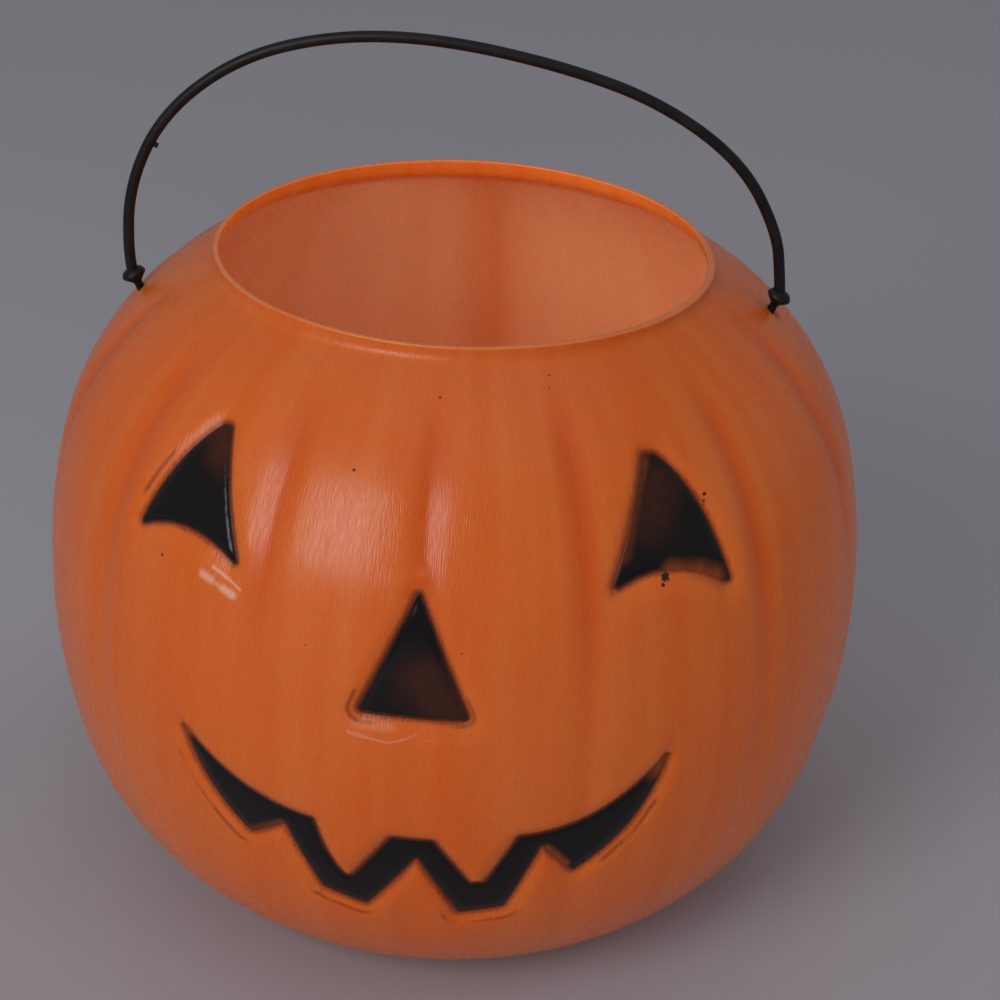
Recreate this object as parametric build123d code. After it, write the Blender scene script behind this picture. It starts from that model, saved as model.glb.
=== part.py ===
# Pumpkin candy pail: a blow-moulded shell with vertical lobes and a painted, recessed face,
# and a one-piece moulded bail whose two barbed necks rock in loose holes in the shoulder.
# Millimetres. Z is up, the face looks along -Y, the origin is the middle of the base.
import os
from math import acos, asin, atan2, cos, degrees, hypot, radians, sin, sqrt, tan

from build123d import *

os.makedirs("parts", exist_ok=True)

# Shell: three tangent arcs make the meridian, from the base edge to the lip
belly_radius = 110.0
belly_height = 87.3
side_arc_radius = 161.0
side_arc_angle = 14.0
shoulder_arc_radius = 73.0
base_edge_angle = 64.0
base_edge_radius = 9.0
base_dish_radius = 48.0
base_dish_depth = 2.5
lip_radius = 64.8
lip_fillet_radius = 3.0
lip_straight_height = 1.7
wall = 1.3

# Grooves between the lobes, as angles from the middle of the face to the middle of the back
groove_angles = [0.0, 21.0, 49.0, 75.0, 105.0, 131.0, 159.0, 180.0]
groove_depth = 0.8
groove_width = 11.0
groove_margin = 0.4
groove_end_angle = 45.0
groove_run_out = 15.0

# Face, seen from the front: distance from the middle, and height above the widest ring
recess_depth = 1.6
eye_top = (48.7, 70.7)
eye_outer_corner = (70.2, 43.1)
eye_inner_corner = (43.8, 46.1)
eye_outer_bow = 2.8
eye_lower_bow = 4.1
nose_height = 31.0
nose_base_rise = 15.7
nose_half_width = 13.7
mouth_corner = (58.3, -0.9)
mouth_upper_bend = (43.5, -13.1)
mouth_upper_end = (25.6, -16.9)
mouth_tooth_tip = (15.5, -33.5)
mouth_middle_edge = (5.8, -19.4)
mouth_lower_bend = (50.6, -18.1)
mouth_lower_tip = (39.3, -28.8)
mouth_lower_notch = (31.2, -21.4)
mouth_leg_outer = (22.3, -40.8)
mouth_leg_inner = (11.4, -43.4)
mouth_middle_notch = (0.0, -26.4)
paint_thickness = 0.25
paint_clearance = 0.05

# Bail: the holes are punched one by one, and the left one sits lower than the right one
left_hole_height = 160.0
right_hole_height = 164.8
hole_clearance = 0.44
swing_limit = 45.0
neck_angle = 66.0
neck_diameter = 2.2
rod_diameter = 2.9
collar_diameter = 6.4
collar_rim_height = 0.8
collar_top_height = 0.9
collar_top_diameter = 4.0
barb_diameter = 6.0
barb_rim_height = 0.6
barb_point_length = 3.5
barb_point_diameter = 2.0
wall_gap = 0.48
hole_drill_length = 5.2
bail_rise = 71.0
bend_share = 0.45
gate_nub_diameter = 1.4
gate_nub_height = 0.9
gate_nub_place = 0.155

# Bends of the bail: share of the span from the left hole, share of the rise above the line of the holes
bail_bends = [
    (-0.018, 0.13),
    (-0.008, 0.41),
    (0.053, 0.686),
    (0.173, 0.896),
    (0.318, 0.986),
    (0.477, 0.986),
    (0.665, 0.899),
    (0.816, 0.777),
    (0.942, 0.569),
    (1.003, 0.308),
    (1.012, 0.13),
]


def at_angle(centre, radius, angle):
    """Point of the meridian plane at a distance and an angle from a centre."""
    return (centre[0] + radius * cos(radians(angle)), centre[1] + radius * sin(radians(angle)))


def angle_from(centre, point):
    """Angle of the line from a centre to a point of the meridian plane."""
    return degrees(atan2(point[1] - centre[1], point[0] - centre[0]))


def upright(point):
    """Point of the upright plane through the axis, from its distance and height."""
    return (point[0], 0, point[1])


def arc(centre, radius, start, end):
    """Arc of the upright plane between two angles."""
    angles = (start, (start + end) / 2, end)
    return ThreePointArc(*[upright(at_angle(centre, radius, angle)) for angle in angles])


# Centres and meeting angles of the meridian's arcs
side_centre = (belly_radius - side_arc_radius, belly_height)
shoulder_centre = at_angle(side_centre, side_arc_radius - shoulder_arc_radius, side_arc_angle)
side_arc_reach = side_arc_radius * sin(radians(side_arc_angle))
lower_arc_radius = (belly_height - side_arc_reach) / (sin(radians(base_edge_angle)) - sin(radians(side_arc_angle)))
lower_centre = at_angle(side_centre, side_arc_radius - lower_arc_radius, -side_arc_angle)
base_edge_gap = sqrt((lower_arc_radius - base_edge_radius) ** 2 - (lower_centre[1] - base_edge_radius) ** 2)
base_edge_centre = (lower_centre[0] + base_edge_gap, base_edge_radius)
base_meeting_angle = angle_from(lower_centre, base_edge_centre)
lip_fillet_x = lip_radius + lip_fillet_radius
lip_fillet_reach = shoulder_arc_radius + lip_fillet_radius
lip_fillet_rise = sqrt(lip_fillet_reach**2 - (lip_fillet_x - shoulder_centre[0]) ** 2)
lip_fillet_centre = (lip_fillet_x, shoulder_centre[1] + lip_fillet_rise)
lip_meeting_angle = angle_from(shoulder_centre, lip_fillet_centre)
rim_height = lip_fillet_centre[1] + lip_straight_height


def moulding(inset, top):
    """Solid of revolution of the outer skin moved inwards by an inset, cut flat at a height."""
    dish_radius = (base_dish_radius**2 + base_dish_depth**2) / (2 * base_dish_depth)
    dish_angle = degrees(asin(base_dish_radius / dish_radius))
    dish_centre = (0, inset + base_dish_depth - dish_radius)
    base_edge = (base_edge_centre[0], inset)
    lip_foot = (lip_radius - inset, lip_fillet_centre[1])
    lip_top = (lip_radius - inset, top)
    edges = [
        arc(dish_centre, dish_radius, 90, 90 - dish_angle),
        Line(upright((base_dish_radius, inset)), upright(base_edge)),
        arc(base_edge_centre, base_edge_radius - inset, -90, base_meeting_angle),
        arc(lower_centre, lower_arc_radius - inset, base_meeting_angle, -side_arc_angle),
        arc(side_centre, side_arc_radius - inset, -side_arc_angle, side_arc_angle),
        arc(shoulder_centre, shoulder_arc_radius - inset, side_arc_angle, lip_meeting_angle),
        arc(lip_fillet_centre, lip_fillet_radius + inset, 180 + lip_meeting_angle, 180),
        Line(upright(lip_foot), upright(lip_top)),
        Line(upright(lip_top), upright((0, top))),
        Line(upright((0, top)), upright((0, inset + base_dish_depth))),
    ]
    return revolve(make_face(edges), axis=Axis.Z)


def groove_tool(inset):
    """V-section bar along the front meridian of the inset skin, which leaves the skin at both ends."""
    low_radius = lower_arc_radius - inset
    side_radius = side_arc_radius - inset
    high_radius = shoulder_arc_radius - inset
    low_end = Vector(*upright(at_angle(lower_centre, low_radius, -groove_end_angle)))
    high_end = Vector(*upright(at_angle(shoulder_centre, high_radius, groove_end_angle)))
    low_way = Vector(*upright(at_angle((0, 0), groove_run_out, -groove_end_angle - 90)))
    high_way = Vector(*upright(at_angle((0, 0), groove_run_out, groove_end_angle + 90)))
    route = [
        Line(low_end + low_way, low_end),
        arc(lower_centre, low_radius, -groove_end_angle, -side_arc_angle),
        arc(side_centre, side_radius, -side_arc_angle, side_arc_angle),
        arc(shoulder_centre, high_radius, side_arc_angle, groove_end_angle),
        Line(high_end, high_end + high_way),
    ]
    path = Wire(route)
    outwards = Vector(*upright(at_angle((0, 0), 1, -groove_end_angle)))
    across = Vector(0, groove_width / 2, 0)
    start = low_end + low_way
    bottom = start - outwards * groove_depth
    brow = start + outwards * groove_margin
    section = make_face(Polyline(bottom, brow + across, brow - across, close=True))
    return Rot(0, 0, -90) * sweep(section, path=path)


def all_grooves(inset):
    """The bar turned to every groove of both sides."""
    tool = groove_tool(inset)
    bars = []
    for angle in groove_angles:
        bars.append(Rot(0, 0, angle) * tool)
        if 0 < angle < 180:
            bars.append(Rot(0, 0, -angle) * tool)
    return bars


def on_face(point):
    """Point of the front view, from its place beside the middle and above the widest ring."""
    return (point[0], 0, belly_height + point[1])


def bowed(start, end, bow):
    """Arc between two points of the front view that bows to the left of its way."""
    way = (end[0] - start[0], end[1] - start[1])
    length = hypot(*way)
    middle = ((start[0] + end[0]) / 2 - way[1] * bow / length, (start[1] + end[1]) / 2 + way[0] * bow / length)
    return ThreePointArc(on_face(start), on_face(middle), on_face(end))


def straight_edges(points):
    """Straight edges from point to point of the front view."""
    return [Line(on_face(first), on_face(second)) for first, second in zip(points, points[1:])]


def eye_outline():
    """Eye on the +X side: a bowed outer edge, an arched lower edge and a straight inner edge."""
    edges = [bowed(eye_top, eye_outer_corner, eye_outer_bow)]
    edges.append(bowed(eye_outer_corner, eye_inner_corner, -eye_lower_bow))
    edges += straight_edges([eye_inner_corner, eye_top])
    return make_face(edges)


def nose_outline():
    """Upright triangle in the middle of the face."""
    tip = (0, nose_base_rise + nose_height)
    right_corner = (nose_half_width, nose_base_rise)
    left_corner = (-nose_half_width, nose_base_rise)
    return make_face(straight_edges([tip, right_corner, left_corner, tip]))


def mouth_outline():
    """Grin with two notched teeth above, made as one half and its mirror image."""
    middle_top = (0, mouth_middle_edge[1])
    edges = straight_edges([middle_top, mouth_middle_edge, mouth_tooth_tip, mouth_upper_end])
    upper = [mouth_upper_end, mouth_upper_bend, mouth_corner]
    lower = [mouth_corner, mouth_lower_bend, mouth_lower_tip]
    edges.append(ThreePointArc(*[on_face(point) for point in upper]))
    edges.append(ThreePointArc(*[on_face(point) for point in lower]))
    leg = [mouth_lower_tip, mouth_lower_notch, mouth_leg_outer, mouth_leg_inner, mouth_middle_notch, middle_top]
    edges += straight_edges(leg)
    half = make_face(edges)
    return half + mirror(half, about=Plane.YZ)


def prism(outline, grow):
    """Outline, grown by a margin, pushed forwards past the front of the shell."""
    shape = outline if grow == 0 else offset(outline, amount=grow)
    return extrude(shape, amount=belly_radius + wall, dir=(0, -1, 0))


right_eye = eye_outline()
outlines = {
    "left_eye_paint": mirror(right_eye, about=Plane.YZ),
    "right_eye_paint": right_eye,
    "nose_paint": nose_outline(),
    "mouth_paint": mouth_outline(),
}


def skin_point(height, inset):
    """Distance of the shoulder's skin from the axis at a height, at an inset."""
    return shoulder_centre[0] + sqrt((shoulder_arc_radius - inset) ** 2 - (height - shoulder_centre[1]) ** 2)


class Hole:
    """Hole in the shoulder: its middle in the wall, the skin's slope there and the neck's way out."""

    def __init__(self, side, height):
        self.centre = Vector(side * skin_point(height, wall / 2), 0, height)
        slope = asin((height - shoulder_centre[1]) / (shoulder_arc_radius - wall / 2))
        lean = radians(neck_angle)
        self.normal = Vector(side * cos(slope), 0, sin(slope))
        self.neck = Vector(side * cos(lean), 0, sin(lean))
        swing = cos(radians(swing_limit))
        self.tilt = acos(cos(lean) * cos(slope) + sin(lean) * sin(slope) * swing)


left_hole = Hole(-1, left_hole_height)
right_hole = Hole(1, right_hole_height)
most_tilt = max(left_hole.tilt, right_hole.tilt)
hole_radius = neck_diameter / 2 / cos(most_tilt) + wall / 2 * tan(most_tilt) + hole_clearance


def clear_of_wall(radius):
    """Distance along the neck at which a ring of this radius just misses the wall at the swing's end."""
    return (wall / 2 + wall_gap + radius * sin(most_tilt)) / cos(most_tilt)


collar_seat = clear_of_wall(collar_diameter / 2)
barb_seat = clear_of_wall(barb_diameter / 2)
neck_seat = clear_of_wall(neck_diameter / 2)


def make_shell():
    """Shell of even thickness, grooved between the lobes, with the face set in and two holes."""
    outside = moulding(0, rim_height)
    inside = moulding(wall, rim_height + wall)
    floor = moulding(recess_depth, rim_height)
    inner_floor = moulding(recess_depth + wall, rim_height)
    outside = outside - all_grooves(0)
    inside = inside - all_grooves(wall)
    for outline in outlines.values():
        outside = outside - (prism(outline, 0) - floor)
        inside = inside - (prism(outline, wall) - inner_floor)
    shell = outside - inside
    for hole in (left_hole, right_hole):
        drill = Cylinder(hole_radius, hole_drill_length)
        shell = shell - Plane(origin=hole.centre, z_dir=hole.normal) * drill
    return shell


def make_paint(outline):
    """Layer of paint on the floor of one recess."""
    lower_skin = moulding(recess_depth - paint_clearance, rim_height)
    upper_skin = moulding(recess_depth - paint_clearance - paint_thickness, rim_height)
    return (prism(outline, -paint_clearance) & upper_skin) - lower_skin


def bail_end(hole):
    """Collar, neck and barb of one end of the bail, turned about the neck's line."""
    collar_rim = collar_seat + collar_rim_height
    barb_rim = barb_seat + barb_rim_height
    profile = [
        (0, -barb_rim - barb_point_length),
        (barb_point_diameter / 2, -barb_rim - barb_point_length),
        (barb_diameter / 2, -barb_rim),
        (barb_diameter / 2, -barb_seat),
        (neck_diameter / 2, -neck_seat),
        (neck_diameter / 2, neck_seat),
        (collar_diameter / 2, collar_seat),
        (collar_diameter / 2, collar_rim),
        (collar_top_diameter / 2, collar_rim + collar_top_height),
        (0, collar_rim + collar_top_height),
    ]
    corners = [upright(point) for point in profile]
    turned = revolve(make_face(Polyline(*corners, close=True)), axis=Axis.Z)
    return Plane(origin=hole.centre, z_dir=hole.neck) * turned


def bail_route():
    """Middle line of the rod: bends joined by the largest tangent arcs that their runs allow."""
    span = right_hole.centre - left_hole.centre
    across = span.normalized()
    up = Vector(-across.Z, 0, across.X)
    start = left_hole.centre + left_hole.neck * (collar_seat + collar_rim_height)
    end = right_hole.centre + right_hole.neck * (collar_seat + collar_rim_height)
    bends = [left_hole.centre + span * share + up * (rise * bail_rise) for share, rise in bail_bends]
    points = [start] + bends + [end]
    radii = []
    for before, corner, after in zip(points, points[1:], points[2:]):
        first = corner - before
        second = after - corner
        shorter = min(first.length, second.length)
        turn = radians(first.get_angle(second))
        radii.append(bend_share * shorter / tan(turn / 2))
    return FilletPolyline(*points, radius=radii)


def make_bail():
    """One moulding: the rod, its two barbed ends and the stub left by the gate."""
    route = bail_route()
    section = Plane(origin=route @ 0, z_dir=route % 0) * Circle(rod_diameter / 2)
    rod = sweep(section, path=route)
    inwards = (route % gate_nub_place).cross(Vector(0, -1, 0)).normalized()
    stub = Circle(gate_nub_diameter / 2)
    nub = extrude(Plane(origin=route @ gate_nub_place, z_dir=inwards) * stub, rod_diameter / 2 + gate_nub_height)
    return rod + [bail_end(left_hole), bail_end(right_hole), nub]


nodes = {"pumpkin_shell": make_shell(), "bail_handle": make_bail()}
for name, outline in outlines.items():
    nodes[name] = make_paint(outline)

for name, shape in nodes.items():
    export_step(shape, f"parts/{name}.step")

axis_way = (right_hole.centre - left_hole.centre).normalized()
print("Rim height", round(rim_height, 2), "base flat to", round(base_edge_centre[0], 2))
print("Hole diameter", round(2 * hole_radius, 2), "most tilt", round(degrees(most_tilt), 1))
print("Hinge through", left_hole.centre, right_hole.centre, "along", axis_way)
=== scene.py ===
"""Pumpkin candy pail: an orange blow-moulded shell, four painted recesses and a black moulded bail.

Every size is in millimetres, as in the part's source, and every mesh is written in metres in its frame.
"""
import logging
from dataclasses import dataclass, field
from enum import Enum
from math import asin, atan2, cos, degrees, pi, radians, sin, sqrt
from typing import Any, Dict, List, Optional, Sequence, Tuple

import bpy
import numpy as np
from mathutils import Matrix, Vector
from mathutils.geometry import delaunay_2d_cdt


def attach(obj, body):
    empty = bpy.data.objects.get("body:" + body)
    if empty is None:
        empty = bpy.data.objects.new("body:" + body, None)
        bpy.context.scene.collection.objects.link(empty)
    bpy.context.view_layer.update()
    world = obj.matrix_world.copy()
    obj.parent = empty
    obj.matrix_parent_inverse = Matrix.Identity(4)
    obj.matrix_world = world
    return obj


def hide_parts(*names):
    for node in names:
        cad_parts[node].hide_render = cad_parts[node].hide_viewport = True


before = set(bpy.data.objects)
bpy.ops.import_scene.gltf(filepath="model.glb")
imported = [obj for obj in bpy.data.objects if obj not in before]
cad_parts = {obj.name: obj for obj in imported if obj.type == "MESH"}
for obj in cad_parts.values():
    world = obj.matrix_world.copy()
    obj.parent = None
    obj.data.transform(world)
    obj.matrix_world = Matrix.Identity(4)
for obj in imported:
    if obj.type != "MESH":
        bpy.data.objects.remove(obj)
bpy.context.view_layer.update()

LOG = logging.getLogger("pumpkin_pail")
MM = 0.001
Point = Tuple[float, float]
Triple = Tuple[float, float, float]
Colour = Tuple[float, float, float, float]
Mark = Tuple[Point, Point, float, float]
PlacedMark = Tuple[Triple, Triple, float, float]
Speck = Tuple[float, float, float]
PlacedSpeck = Tuple[float, float, float, float]


class FacePart(Enum):
    """Painted areas of the face, by the name of their CAD node."""

    LEFT_EYE = "left_eye_paint"
    RIGHT_EYE = "right_eye_paint"
    NOSE = "nose_paint"
    MOUTH = "mouth_paint"


class Slot(Enum):
    """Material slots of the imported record."""

    SHELL = "orange_plastic"
    BAIL = "black_plastic"
    PAINT = "black_paint"


class Value:
    """Output socket of a node, on which Python's operators add Math nodes."""

    def __init__(self, graph: "Graph", socket: bpy.types.NodeSocket) -> None:
        """Keeps the socket and the graph that it belongs to."""
        self.graph = graph
        self.socket = socket

    def _math(self, operation: str, first: Any, second: Any) -> "Value":
        """Adds a Math node for an operation on two values."""
        return self.graph.node("ShaderNodeMath", {"operation": operation}, {0: first, 1: second})

    def __add__(self, other: Any) -> "Value":
        """Sum."""
        return self._math("ADD", self, other)

    def __radd__(self, other: Any) -> "Value":
        """Sum with a number on the left."""
        return self._math("ADD", other, self)

    def __sub__(self, other: Any) -> "Value":
        """Difference."""
        return self._math("SUBTRACT", self, other)

    def __rsub__(self, other: Any) -> "Value":
        """Difference with a number on the left."""
        return self._math("SUBTRACT", other, self)

    def __mul__(self, other: Any) -> "Value":
        """Product."""
        return self._math("MULTIPLY", self, other)

    def __rmul__(self, other: Any) -> "Value":
        """Product with a number on the left."""
        return self._math("MULTIPLY", other, self)

    def most(self, other: Any) -> "Value":
        """Larger of two values."""
        return self._math("MAXIMUM", self, other)


class Graph:
    """Node tree that is built one node at a time."""

    def __init__(self, tree: bpy.types.NodeTree) -> None:
        """Starts from an empty tree."""
        self.tree = tree
        self.tree.nodes.clear()

    def node(
        self,
        kind: str,
        settings: Optional[Dict[str, Any]] = None,
        inputs: Optional[Dict[Any, Any]] = None,
        output: Any = 0,
    ) -> Optional[Value]:
        """Adds a node.

        Args:
            kind: Type of the node.
            settings: Its properties, set first.
            inputs: Numbers, colours, links or lists of links for its input sockets.
            output: Name or number of the output that is returned.

        Returns:
            The output socket, or None where the node has none.
        """
        made = self.tree.nodes.new(kind)
        for name, setting in (settings or {}).items():
            setattr(made, name, setting)
        for key, given in (inputs or {}).items():
            for each in given if isinstance(given, list) else [given]:
                if isinstance(each, Value):
                    self.tree.links.new(each.socket, made.inputs[key])
                else:
                    made.inputs[key].default_value = each
        return Value(self, made.outputs[output]) if len(made.outputs) else None


class Finish(Graph):
    """Node tree of one material."""

    def __init__(self, name: str) -> None:
        """Makes the material and reads the place on the piece."""
        self.material = bpy.data.materials.new(name)
        self.material.use_nodes = True
        super().__init__(self.material.node_tree)
        self.place = self.node("ShaderNodeTexCoord", output="Object")

    def noise(
        self,
        fineness: Triple,
        detail: float = 2.0,
        offset: Triple = (0.0, 0.0, 0.0),
        place: Optional[Value] = None,
    ) -> Value:
        """Makes noise with its own number of grains per metre along each axis.

        Args:
            fineness: Grains per metre.
            detail: How many finer layers it has.
            offset: Shift that tells it from other noise.
            place: Place that it is read at, by default the place on the piece.

        Returns:
            The noise, about 0.5 on average.
        """
        settled = {"Vector": place or self.place, "Scale": fineness, "Location": offset}
        mapped = self.node("ShaderNodeMapping", {}, settled)
        return self.node("ShaderNodeTexNoise", {}, {"Vector": mapped, "Scale": 1.0, "Detail": detail})

    def attribute(self, name: str) -> Value:
        """Number that the mesh carries at its points."""
        return self.node("ShaderNodeAttribute", {"attribute_name": name}, output="Fac")

    def ramp(self, value: Value, start: float, end: float, low: float = 0.0, high: float = 1.0) -> Value:
        """Smooth change from one number to another while a value goes from start to end."""
        steps = {0: value, 1: start, 2: end, 3: low, 4: high}
        return self.node("ShaderNodeMapRange", {"interpolation_type": "SMOOTHSTEP"}, steps)

    def mix(self, share: Any, first: Any, second: Any) -> Value:
        """Colour between two colours."""
        return self.node("ShaderNodeMix", {"data_type": "RGBA"}, {0: share, 6: first, 7: second}, 2)

    def bump(self, height: Value, strength: float, depth: float, below: Optional[Value] = None) -> Value:
        """Normal of a height in shares of a depth in metres, on top of another bump."""
        inputs = {"Height": height, "Strength": strength, "Distance": depth}
        if below is not None:
            inputs["Normal"] = below
        return self.node("ShaderNodeBump", {}, inputs)

    def marked(
        self, marks: Sequence[PlacedMark], grain: Value, core: float, raggedness: float = 0.0
    ) -> Value:
        """Largest share of any straight mark, full up to its core and fading out at its reach.

        Args:
            marks: Ends, reach and share of each mark, in millimetres.
            grain: Noise that makes the edges ragged.
            core: Share of the reach within which a mark is full.
            raggedness: Share of the reach by which grains shift its edge.

        Returns:
            The share.
        """
        largest: Any = 0.0
        for start, end, reach, share in marks:
            run = (Vector(end) - Vector(start)) * MM
            away = self.vector_math("SUBTRACT", self.place, Vector(start) * MM)
            along = self.vector_math("DOT_PRODUCT", away, run / run.length_squared, "Value")
            held = self.node("ShaderNodeClamp", {}, {"Value": along})
            beside = self.node("ShaderNodeVectorMath", {"operation": "SCALE"}, {0: run, "Scale": held})
            apart = self.vector_math("DISTANCE", away, beside, "Value")
            apart = apart + (grain - 0.5) * (raggedness * reach * MM)
            faded = 1.0 - self.ramp(apart, core * reach * MM, reach * MM)
            largest = (faded * share).most(largest)
        return largest

    def vector_math(self, operation: str, first: Any, second: Any, output: str = "Vector") -> Value:
        """Adds a Vector Math node for an operation on two vectors."""
        return self.node("ShaderNodeVectorMath", {"operation": operation}, {0: first, 1: second}, output)

    def surface(self, inputs: Dict[str, Any]) -> bpy.types.Material:
        """Ends the tree in one Principled shader.

        Args:
            inputs: Values or links of the shader's sockets.

        Returns:
            The material.
        """
        shader = self.node("ShaderNodeBsdfPrincipled", {}, inputs)
        self.node("ShaderNodeOutputMaterial", {}, {"Surface": shader})
        return self.material


def smooth_step(value: np.ndarray, start: float, end: float) -> np.ndarray:
    """Smooth change from 0 at start to 1 at end."""
    share = np.clip((value - start) / (end - start), 0.0, 1.0)
    return share * share * (3.0 - 2.0 * share)


def make_piece(name: str, points: np.ndarray, faces: List[Sequence[int]]) -> bpy.types.Object:
    """Makes a smooth-shaded mesh object.

    Args:
        name: Name of the piece.
        points: Places in millimetres.
        faces: Numbers of each face's points.

    Returns:
        The object, at the origin.
    """
    mesh = bpy.data.meshes.new(name)
    mesh.from_pydata((points * MM).tolist(), [], faces)
    mesh.validate()
    mesh.shade_smooth()
    piece = bpy.data.objects.new(name, mesh)
    bpy.context.scene.collection.objects.link(piece)
    return piece


def carry(piece: bpy.types.Object, name: str, numbers: np.ndarray) -> None:
    """Stores one number per point on a piece's mesh."""
    attribute = piece.data.attributes.new(name, "FLOAT", "POINT")
    attribute.data.foreach_set("value", numbers.astype(np.float32))


def settle(piece: bpy.types.Object, body: str, nodes: Sequence[str]) -> None:
    """Puts a piece on its body in place of its CAD nodes and reports it."""
    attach(piece, body)
    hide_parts(*nodes)
    LOG.info("%s rides on %s with %d faces", piece.name, body, len(piece.data.polygons))


@dataclass(frozen=True)
class OrangePlastic:
    """Satin translucent polyethylene, brushed outside, with stray paint; the paler inside is partly whitish
    plastic and partly painted light, and the pale strokes are painted highlights.
    """

    deep: Colour = (0.69, 0.118, 0.004, 1.0)
    pale: Colour = (0.73, 0.175, 0.028, 1.0)
    # Paler inner colour: partly the whitish inside of the plastic, partly painted light standing in for
    # light that comes through the wall and bounces inside.
    milk_and_glow_colour: Colour = (0.94, 0.50, 0.25, 1.0)
    # Deeper orange painted into the upper grooves as painted shade in the creases.
    groove_shade: Colour = (0.64, 0.082, 0.002, 1.0)
    # Pale pink-white colour of painted highlights: window glints on the lower lips of the eye and nose
    # recesses.
    painted_glint: Colour = (0.90, 0.62, 0.48, 1.0)
    stained: Colour = (0.20, 0.024, 0.004, 1.0)
    dark: Colour = (0.045, 0.012, 0.005, 1.0)
    specks: Tuple[PlacedSpeck, ...] = ()
    # Painted highlight strokes: ends, reach and share of each.
    strokes: Tuple[PlacedMark, ...] = ()
    ring_radius: float = 0.1
    streak_grains: Triple = (150.0, 150.0, 9.0)
    cloud_grains: Triple = (16.0, 16.0, 12.0)
    band_grains: Triple = (60.0, 60.0, 3.0)
    brush_grains: Triple = (2700.0, 2700.0, 300.0)
    fine_grains: Triple = (1300.0, 1300.0, 1300.0)
    # Share of the painted groove shade.
    groove_shade_share: float = 0.7
    least_roughness: float = 0.17
    brush_depth: float = 0.00015
    grain_depth: float = 0.00004

    def make(self) -> bpy.types.Material:
        """Builds the material.

        Returns:
            The material.
        """
        finish = Finish("orange_plastic")
        wall = self._wrapped(finish)
        streaks = finish.noise(self.streak_grains, 3.0, place=wall)
        clouds = finish.noise(self.cloud_grains, 2.0, (3.0, 1.0, 2.0))
        bands = finish.noise(self.band_grains, 2.0, (1.0, 4.0, 2.0), wall)
        brushing = finish.noise(self.brush_grains, 1.0, place=wall)
        grain = finish.noise(self.fine_grains, 1.0)
        tone = finish.ramp(streaks * 0.55 + clouds * 0.6, 0.28, 0.88)
        # The inner wall is mixed towards the paler colour: partly whitish plastic, partly painted glow of
        # light through the wall.
        milk_and_glow = finish.attribute("inside") * finish.ramp(bands, 0.35, 0.60, 0.85, 1.0)
        colour = finish.mix(tone, self.deep, self.pale)
        # Painted shade: the grooves are mixed towards a deeper orange.
        colour = finish.mix(finish.attribute("groove") * self.groove_shade_share, colour, self.groove_shade)
        # Paler inside, partly painted light.
        colour = finish.mix(milk_and_glow, colour, self.milk_and_glow_colour)
        gap = finish.attribute("paint_gap") + (grain - 0.5) * 0.8 + (streaks - 0.5) * 0.8
        near = (1.0 - finish.ramp(gap, 0.0, 1.5)) * 0.85
        haze = (1.0 - finish.ramp(gap, 0.0, 3.0)) * finish.attribute("stain")
        away = finish.attribute("line_gap") + (streaks - 0.5) * 1.0
        line = 1.0 - finish.ramp(away.most(away * -1.0), 0.15, 0.8)
        ghost = line * finish.attribute("ghost") * finish.ramp(streaks, 0.30, 0.50)
        colour = finish.mix(near.most(haze).most(ghost * 0.6), colour, self.stained)
        # Painted highlights: pale strokes where the window glints on the recess lips.
        colour = finish.mix(finish.marked(self.strokes, grain, 0.0, 0.8), colour, self.painted_glint)
        colour = finish.mix(self._speck_share(finish, grain), colour, self.dark)
        roughness = self.least_roughness + finish.ramp(brushing, 0.3, 0.7) * 0.16 + streaks * 0.06
        normal = finish.bump(brushing, 0.50, self.brush_depth)
        normal = finish.bump(grain, 0.06, self.grain_depth, normal)
        return finish.surface(
            {
                "Base Color": colour,
                "Roughness": roughness,
                "Normal": normal,
                "IOR": 1.5,
                "Specular IOR Level": 0.40,
                "Subsurface Weight": 0.6,
                "Subsurface Radius": (1.0, 0.55, 0.32),
                "Subsurface Scale": 0.002,
            }
        )

    def _wrapped(self, finish: Finish) -> Value:
        """Place round the axis, on a circle of one size, and along the skin of the wall."""
        level = finish.vector_math("MULTIPLY", finish.place, (1.0, 1.0, 0.0))
        way = finish.vector_math("NORMALIZE", level, (0.0, 0.0, 0.0))
        around = finish.vector_math("MULTIPLY", way, (self.ring_radius, self.ring_radius, 0.0))
        along = finish.node("ShaderNodeCombineXYZ", {}, {"Z": finish.attribute("along")})
        return finish.vector_math("ADD", around, along)

    def _speck_share(self, finish: Finish, grain: Value) -> Value:
        """Share of paint at the specks that missed the recesses."""
        share: Any = None
        for *place, size in self.specks:
            spot = tuple(each * MM for each in place)
            away = finish.vector_math("DISTANCE", finish.place, spot, "Value")
            edge = away + (grain - 0.5) * (size * MM * 1.2)
            inside = 1.0 - finish.ramp(edge, size * MM * 0.75, size * MM)
            share = inside if share is None else share.most(inside)
        return share


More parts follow.
